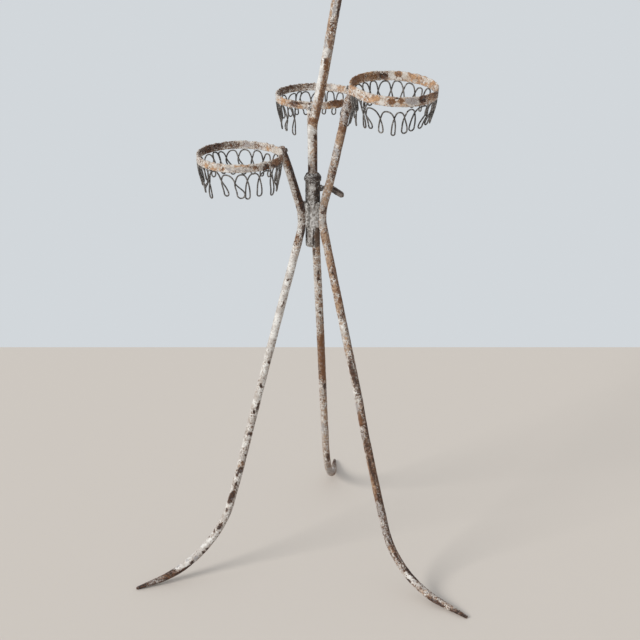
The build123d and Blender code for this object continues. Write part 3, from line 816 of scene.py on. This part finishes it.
def on_cone(rod, u, v, near):
    """Angle round the ring, in degrees, and drop below the band's lower edge, of the gallery's
    point seen at a picture point."""
    centre, ax, ay, an = ring_axes(rod)
    o, d = CAM_AT - centre, sight(u, v)
    o = np.array((o @ ax, o @ ay, o @ an))
    d = np.array((d @ ax, d @ ay, d @ an))
    top = -rod["h"] * MM / 2 - WIRE_R
    k = math.tan(GALLERY_TAPER)
    base = RING_R - BAND_T / 2 - k * top
    a = d[0] ** 2 + d[1] ** 2 - (k * d[2]) ** 2
    b = o[0] * d[0] + o[1] * d[1] - k * (base + k * o[2]) * d[2]
    c = o[0] ** 2 + o[1] ** 2 - (base + k * o[2]) ** 2
    root = math.sqrt(max(b * b - a * c, 0.0))
    t = (-b - root if near else -b + root) / a
    p = o + t * d
    return math.degrees(math.atan2(p[1], p[0])) % 360, p[2] - top


def hermite(p, q, a, b, n):
    t = np.linspace(0, 1, n, endpoint=False)[:, None]
    return ((2 * t ** 3 - 3 * t ** 2 + 1) * p + (t ** 3 - 2 * t ** 2 + t) * a
            + (-2 * t ** 3 + 3 * t ** 2) * q + (t ** 3 - t ** 2) * b)


# The left gallery's loop that has sprung open.
WIDE_LOOP = 16
WIDE_LOOP_R = 6.5 * MM
# How high and low the tops, crossings and lows of a gallery may lie under the band.
TOP_RANGE = (-9 * MM, 1.2 * MM)
CROSS_RANGE = (-24 * MM, -13 * MM)
LOW_RANGE = (-54 * MM, -36 * MM)


def gallery_line(side, rod, seed, first=0, count=LOOPS):
    """A ring's looped wire, from its first loop on: top, crossing, round the low and up again."""
    rng = np.random.default_rng(seed)
    rim = RING_R - BAND_T / 2
    step = 360 / LOOPS
    tops = np.array([(k * step + rng.normal(0, 0.7), rng.normal(0, 0.5) * MM) for k in range(LOOPS)])
    cross = np.array([((k + .5) * step + rng.normal(0, 0.8), -CROSS_DROP + rng.normal(0, 1.2) * MM)
                      for k in range(LOOPS)])
    lows = np.array([((k + .5) * step + rng.normal(0, 1.6), -LOOP_DROP + rng.normal(0, 1.4) * MM)
                     for k in range(LOOPS)])
    wide = 4.0 * MM + rng.normal(0, 0.5, LOOPS) * MM
    for kind, table in (("top", tops), ("cross", cross), ("low", lows)):
        home = table.copy()
        for view in ("front", "back"):
            for u, v, *number in SEEN[side].get(f"{view}_{kind}", ()):
                ang, drop = on_cone(rod, u, v, view == "front")
                gap = (home[:, 0] - ang + 180) % 360 - 180
                k = number[0] if number else int(np.argmin(np.abs(gap)))
                table[k] = (home[k, 0] - gap[k], drop)
    tops[:, 1] = np.clip(tops[:, 1], *TOP_RANGE)
    cross[:, 1] = np.clip(cross[:, 1], *CROSS_RANGE)
    lows[:, 1] = np.clip(lows[:, 1], *LOW_RANGE)
    if side == "left":
        wide[WIDE_LOOP] = WIDE_LOOP_R
    centre, ax, ay, an = ring_axes(rod)
    top = -rod["h"] * MM / 2 - WIRE_R

    def at(ang, z, out):
        r = rim + z * math.tan(GALLERY_TAPER) + out
        a = math.radians(ang)
        return centre + ax * r * math.cos(a) + ay * r * math.sin(a) + an * (top + z)

    def heading(ang, z, out, round_way, up_way):
        e = 1e-4
        r = rim + z * math.tan(GALLERY_TAPER)
        ahead = at(ang + math.degrees(round_way * e / r), z + up_way * e, out)
        return unit(ahead - at(ang, z, out))

    line = []
    for i in range(first, first + count):
        k, m = i % LOOPS, (i + 1) % LOOPS
        turn, next_turn = 360 * (i // LOOPS), 360 * ((i + 1) // LOOPS)
        cross_at, cz = cross[k, 0] + turn, cross[k, 1]
        low_at, lz = lows[k, 0] + turn, lows[k, 1]
        w = math.degrees(wide[k] / (rim - 8 * MM))
        keys = [(tops[k, 0] + turn, tops[k, 1], 0.0, 1, 0), (cross_at, cz, CROSS_OUT, .35, -1),
                (low_at + w, lz + wide[k], 0.5 * MM, 0, -1), (low_at, lz, 0.0, -1, 0),
                (low_at - w, lz + wide[k], -0.5 * MM, 0, 1), (cross_at, cz, -CROSS_OUT, .35, 1),
                (tops[m, 0] + next_turn, tops[m, 1], 0.0, 1, 0)]
        for p, q, gain in zip(keys, keys[1:], (1.25, 1.0, 1.1, 1.1, 1.0, 1.25)):
            start, end = at(*p[:3]), at(*q[:3])
            reach = np.linalg.norm(end - start)
            n = max(4, int(reach / (1.1 * MM)))
            line.extend(hermite(start, end, heading(*p) * reach * gain, heading(*q) * reach * gain, n))
    return np.array(line)


WIRE_SIDES = 10
WORN_WIRE_R = 1.32 * MM
GALLERY_SEED = {"left": 41, "right": 47, "back": 53}
# The back gallery lacks its front loops: its first loop, and how many there are.
BACK_LOOPS = (20, 17)

for side, rod in RODS.items():
    seed = GALLERY_SEED[side]
    closed = side != "back"
    line = gallery_line(side, rod, seed, *(() if closed else BACK_LOOPS))
    radii = WORN_WIRE_R * (1 + 0.07 * noise(line, 5 * MM, seed))
    grid, out, s = tube_grid(line, radii, WIRE_SIDES, closed, cap=3)
    flat, dirs = grid.reshape(-1, 3), out.reshape(-1, 3)
    flat = flat + dirs * (0.09 * MM * rough(flat, 2.5 * MM, seed + 2))[:, None]
    obj = tube_object(f"gallery_{side}_worn", flat.reshape(grid.shape), s, 2 * math.pi * WIRE_R, closed)
    wear_and_shade(obj, dirs, bare=0.42, ochre=0.25, grey=0.35, cloud=0.25, size=10 * MM, seed=float(seed))
    dress(obj, BODY, WIRE, "dark_wire", f"gallery_{side}")


# Pole: straight in the socket, leaning above a bend, with a crook, a drawn neck and a hook.
LEAN = math.radians(10.1)
POLE_FOOT = 668 * MM
POLE_BEND_Z = 888 * MM
POLE_BEND_R = 60 * MM
SLIDE_TOP = 885 * MM
SLIDE_LOW = 700 * MM
CROOK_R = 105 * MM
CROOK_TOP = 1611 * MM
NECK = 35 * MM
HOOK_R = 17 * MM
HOOK_TAIL = 12 * MM
HOOK_BAR_R = 5 * MM
POLE_SIDES = 56
POLE_ROWS = [
    (0, .28, .32, .35), (50, .28, .3, .3), (75, .22, .35, .1), (115, .28, .4, .1),
    (124, .4, .6, .1), (131, .18, .15, .1), (160, .28, .35, .2), (172, .4, .2, .4)]
POLE_SPOTS = [
    (309, 169, 1.2, 3, "d", .9), (316.5, 167, 1.6, 4, "d", .8), (316, 155, 1.6, 8, "d", .4),
    (311, 128, 2.6, 6, "w", .6), (311.5, 121.5, 4.5, 3, "r", .8), (315.4, 137, 1.3, 2.5, "d", .7),
    (316, 145, 2, 8, "r", .5), (317.5, 88, 2.2, 9, "w", .8, 10), (321, 72, 2.2, 9, "w", .5, 10),
    (322, 90, 2.2, 14, "r", .7, 10), (318, 112, 2, 10, "r", .7, 6), (326, 66, 2.4, 8, "r", .8, 10),
    (325.7, 60.5, 1.6, 2, "d", .6), (326.3, 51.5, 2.4, 3, "w", .7), (325.7, 44.6, 1.4, 2.5, "g", .9),
    (330, 42, 2, 5, "r", .6), (331.6, 26, 3, 9, "r", .5, 10), (328.5, 22, 1.4, 8, "o", .7, 10),
    (334.5, 8, 1.4, 8, "g", .8, 10), (331.5, 8, 1.6, 8, "o", .5, 10), (339, 6, 1.4, 10, "d", .6, 10),
    (309.5, 150, 1.4, 12, "w", .3)]


def half_turn(centre, r, angles):
    return centre + r * np.stack([np.cos(angles), 0 * angles, np.sin(angles)], -1)


def pole_object():
    lean_top = CROOK_TOP - CROOK_R - CROOK_R * math.sin(LEAN)
    start = np.array(((lean_top - POLE_BEND_Z) * math.tan(LEAN), 0, lean_top))
    bend = np.array((0, 0, POLE_BEND_Z))
    stem = bend_line([np.array((0, 0, POLE_FOOT)), bend, start], [POLE_BEND_R])[:-1]
    crook_c = start + np.array((-CROOK_R * math.cos(LEAN), 0, CROOK_R * math.sin(LEAN)))
    crook = half_turn(crook_c, CROOK_R, np.linspace(-LEAN, math.pi, 340)[:-1])
    neck = crook_c - np.array((CROOK_R, 0, 0))
    down = np.linspace(0, 1, 36)[:-1]
    drawn = neck - np.array((0, 0, NECK)) * down[:, None]
    hook_c = neck - np.array((HOOK_R, 0, NECK))
    hook = half_turn(hook_c, HOOK_R, np.linspace(0, -math.pi, 50))
    tail = hook[-1] + np.array((0, 0, 1.0)) * np.linspace(0, HOOK_TAIL, 12)[1:, None]
    line = astray(np.concatenate([stem, crook, drawn, hook, tail]), "pole")
    radii = np.concatenate([np.full(len(stem) + len(crook), POLE_R),
                            POLE_R + (HOOK_BAR_R - POLE_R) * down,
                            np.full(len(hook) + len(tail), HOOK_BAR_R)])
    grid, out, s = tube_grid(line, radii, POLE_SIDES)
    flat, dirs = grid.reshape(-1, 3), out.reshape(-1, 3)
    lump = 0.28 * MM * noise(flat, 24 * MM, 61) + 0.15 * MM * rough(flat, 5 * MM, 62)
    # Where the pole slides in its socket, it is never thicker than the solid.
    slides = np.clip((SLIDE_TOP - flat[:, 2]) / (6 * MM), 0, 1)
    lump = np.where(slides > 0, np.minimum(lump, 0) * 0.6 - 0.04 * MM * slides, lump)
    lump = lump * np.clip((flat[:, 2] - SLIDE_LOW) / (6 * MM), 0, 1)
    grid = (flat + dirs * lump[:, None]).reshape(grid.shape)
    pole = tube_object("crook_pole_worn", grid, s, 2 * math.pi * POLE_R)
    # The right gains are painted shade on the pole's side away from the window.
    wear_and_shade(pole, dirs, right=(0.28, 0.26, 0.0), seed=11.0, rows=POLE_ROWS, spots=POLE_SPOTS)
    dress(pole, "pole", PAINT, "painted_pole", "crook_pole")


pole_object()


# Small iron pieces: the solids' own shapes, made uneven.
SOCKET_CLEAR = 10 * MM
TUBE_CLEAR = 13.6 * MM
TUBE_TOP = 786.95 * MM
COLLAR_FOOT = 787.3 * MM
PAINTED = (HUB, "painted_hub")
BARE = (SCREW, "bare_screw")


def worn_copy(node, voxel, lump, grain, seed, clear, swell):
    """A solid's fine remesh with lumps of the size grain, none inside the radius clear of the axis."""
    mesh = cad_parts[node].data.copy()
    obj = bpy.data.objects.new(f"{node}_worn", mesh)
    bpy.context.scene.collection.objects.link(obj)
    mod = obj.modifiers.new("remesh", "REMESH")
    mod.mode = "VOXEL"
    mod.voxel_size = voxel
    soft = obj.modifiers.new("smooth", "SMOOTH")
    soft.factor = 0.5
    soft.iterations = 3
    deps = bpy.context.evaluated_depsgraph_get()
    new = bpy.data.meshes.new_from_object(obj.evaluated_get(deps))
    obj.modifiers.clear()
    obj.data = new
    bpy.data.meshes.remove(mesh)
    co = vectors(new, "co")
    d = swell + lump * rough(co, grain, seed)
    if clear is not None:
        d = d * np.clip((np.hypot(co[:, 0], co[:, 1]) - clear) / (1.2 * MM), 0, 1)
    new.polygons.foreach_set("use_smooth", np.ones(len(new.polygons), bool))
    place(new, co + vectors(new, "normal") * d[:, None])
    return obj


def level(obj, low=0.0, high=math.inf):
    """Cut a piece level at a lowest and a highest place."""
    co = vectors(obj.data, "co")
    co[:, 2] = np.clip(co[:, 2], low, high)
    place(obj.data, co)


def to_arm_tops(rivets):
    """Move each rivet to its arm's end, on the side away from the ring."""
    co = vectors(rivets.data, "co")
    for side, rod in RODS.items():
        end, r, up = arm_tops[side]
        near = np.linalg.norm(co - end, axis=1) < 35 * MM
        middle = co[near].mean(0)
        centre, _, _, an = ring_axes(rod)
        away = end - centre
        away = unit(away - an * (away @ an))
        away = unit(away - up * (away @ up))
        drop = max(7 * MM, (end - middle) @ up)
        co[near] += end - up * drop + away * (r - 1.5 * MM) - middle
    place(rivets.data, co)


def iron_piece(node, body, finish, seed, voxel, lump, grain, clear=None, swell=0.0, fit=None,
               cloud=0.2, size=8 * MM, **look):
    obj = worn_copy(node, voxel, lump, grain, seed, clear, swell)
    if fit:
        fit(obj)
    wear_and_shade(obj, None, cloud=cloud, size=size, seed=float(seed), **look)
    dress(obj, body, *finish, node)


# The socket tube's right gains are painted shade on its side away from the window, with some rust there
# too.
iron_piece("socket_tube", BODY, PAINTED, 71, 0.8 * MM, 0.35 * MM, 8 * MM, SOCKET_CLEAR,
           fit=lambda tube: level(tube, high=TUBE_TOP), right=(0.25, 0.2, 0.1), cloud=0.25, size=6 * MM,
           rows=[(183, .42, .20, .35), (206, .42, .20, .35), (213, .26, .12, .28), (245, .32, .20, .28)],
           spots=[(311, 198, 3, 10, "w", .2), (310, 222, 6, 12, "w", .4), (318, 196, 3, 14, "d", .3),
                  (317, 236, 3, 8, "r", .7), (317, 236, 3, 8, "o", .5), (313.3, 237, .8, 9, "d", .8),
                  (306, 232, 1.2, 8, "d", .5), (313, 188, 3, 3, "w", .3)])
iron_piece("screw_boss", BODY, PAINTED, 73, 0.6 * MM, 0.25 * MM, 5 * MM, TUBE_CLEAR,
           bare=0.5, ochre=0.2, grey=0.3)
iron_piece("hub_welds", BODY, PAINTED, 75, 0.7 * MM, 0.9 * MM, 5 * MM, TUBE_CLEAR, 2.2 * MM,
           bare=0.16, ochre=0.05, grey=0.3)


# Weld runs in the grooves between the tube and both sides of each rod.
RUN_TURN = 25.5
RUN_AT = 15.5 * MM
RUN_HALF = 22 * MM
RUN_SIDES = 28


def weld_runs():
    verts, faces, outs = [], [], []
    first = 0
    for rod in RODS.values():
        for k, turn in enumerate((-RUN_TURN, RUN_TURN)):
            az = (rod["leg"] + rod["arm"]) / 2 + turn
            z = np.linspace(704, 746, 50) * MM
            far = np.abs(z - KNEE_Z) / RUN_HALF
            bead = np.stack([polar(RUN_AT, az, h) for h in z])
            bead += polar(1.0, az, 0) * (0.7 * MM * far ** 2)[:, None]
            radii = (3.5 + 1.1 * noise(bead, 7 * MM, 90 + k)) * MM * (1 - 0.45 * far ** 3)
            grid, out, _ = tube_grid(bead, radii, RUN_SIDES)
            flat, dirs = grid.reshape(-1, 3), out.reshape(-1, 3)
            verts.append(flat + dirs * (0.6 * MM * rough(flat, 4 * MM, 95.0))[:, None])
            outs.append(dirs)
            faces += list(grid_faces(len(grid), RUN_SIDES, False, first))
            faces += end_faces(len(grid), RUN_SIDES, first)
            first += len(flat)
    beads = make_object("hub_weld_runs", np.concatenate(verts), faces)
    wear_and_shade(beads, np.concatenate(outs), bare=0.14, ochre=0.05, grey=0.25, cloud=0.2, size=8 * MM, seed=76.0)
    dress(beads, BODY, HUB, "painted_hub")


weld_runs()

# On the collar, the white spot at its left is a painted highlight and the dark spot at its lower right is
# painted shade.
iron_piece("socket_collar", "collar", PAINTED, 77, 0.6 * MM, 0.8 * MM, 6 * MM, SOCKET_CLEAR,
           fit=lambda collar: level(collar, low=COLLAR_FOOT), bare=0.55, ochre=0.05, grey=0.5, cloud=0.25,
           size=6 * MM, spots=[(307, 177, 2, 2, "w", .4), (318, 178, 3, 2, "d", .5)])
iron_piece("band_rivets", BODY, PAINTED, 79, 0.5 * MM, 0.2 * MM, 4 * MM, fit=to_arm_tops,
           bare=0.35, ochre=0.2, grey=0.4, size=6 * MM)
iron_piece("lock_lever", "lever", BARE, 81, 0.6 * MM, 0.3 * MM, 6 * MM,
           bare=0.34, ochre=0.3, grey=0.3, cloud=0.15, size=12 * MM,
           spots=[(338, 190.5, 6, 1.0, "d", .7, 32)])
iron_piece("lock_screw", "screw", BARE, 83, 0.5 * MM, 0.1 * MM, 4 * MM,
           bare=0.55, ochre=0.2, grey=0.3)


# Floor, up to the place where the photograph's wall begins.
FLOOR_HALF = 3.0
FLOOR_BACK = 0.99
FLOOR_COLOUR = (0.60, 0.545, 0.49)

g = Graph(bpy.data.materials.new("floor"))
shader = g.node("BsdfPrincipled")
shader.inputs["Base Color"].default_value = (*FLOOR_COLOUR, 1.0)
shader.inputs["Roughness"].default_value = 0.9
g.link(shader.outputs[0], g.node("OutputMaterial").inputs["Surface"])
corners = [(-FLOOR_HALF, -FLOOR_HALF, 0), (FLOOR_HALF, -FLOOR_HALF, 0),
           (FLOOR_HALF, FLOOR_BACK, 0), (-FLOOR_HALF, FLOOR_BACK, 0)]
floor = make_object("floor", np.array(corners, float), [np.array((0, 1, 2, 3))])
floor.data.materials.append(g.owner)

# World: a pale wall colour for the camera and for reflections, a cool soft light for the rest.
WALL_COLOUR = (0.645, 0.68, 0.71)
AIR_COLOUR = (0.92, 0.96, 1.0)
AIR_STRENGTH = 0.72

g = Graph(bpy.data.worlds.new("world"))
bpy.context.scene.world = g.owner
path = g.node("LightPath")
wall = g.node("Background")
wall.inputs[0].default_value = (*WALL_COLOUR, 1.0)
air = g.node("Background")
air.inputs[0].default_value = (*AIR_COLOUR, 1.0)
air.inputs[1].default_value = AIR_STRENGTH
both = g.node("MixShader")
g.link(g.math("MAXIMUM", path.outputs["Is Camera Ray"], path.outputs["Is Glossy Ray"]), both.inputs[0])
g.link(air.outputs[0], both.inputs[1])
g.link(wall.outputs[0], both.inputs[2])
g.link(both.outputs[0], g.node("OutputWorld").inputs[0])

# Light from a window at the front left.
WINDOW_ENERGY = 2.1
WINDOW_ANGLE = math.radians(21)
WINDOW_COLOUR = (1.0, 0.985, 0.96)
LIGHT_WAY = Vector((4.2, 2.6, -3.0))

light = bpy.data.lights.new("window", "SUN")
light.energy = WINDOW_ENERGY
light.angle = WINDOW_ANGLE
light.color = WINDOW_COLOUR
window = bpy.data.objects.new("window", light)
window.rotation_euler = LIGHT_WAY.to_track_quat("-Z", "Y").to_euler()
bpy.context.scene.collection.objects.link(window)

bpy.context.scene.view_settings.view_transform = "Standard"
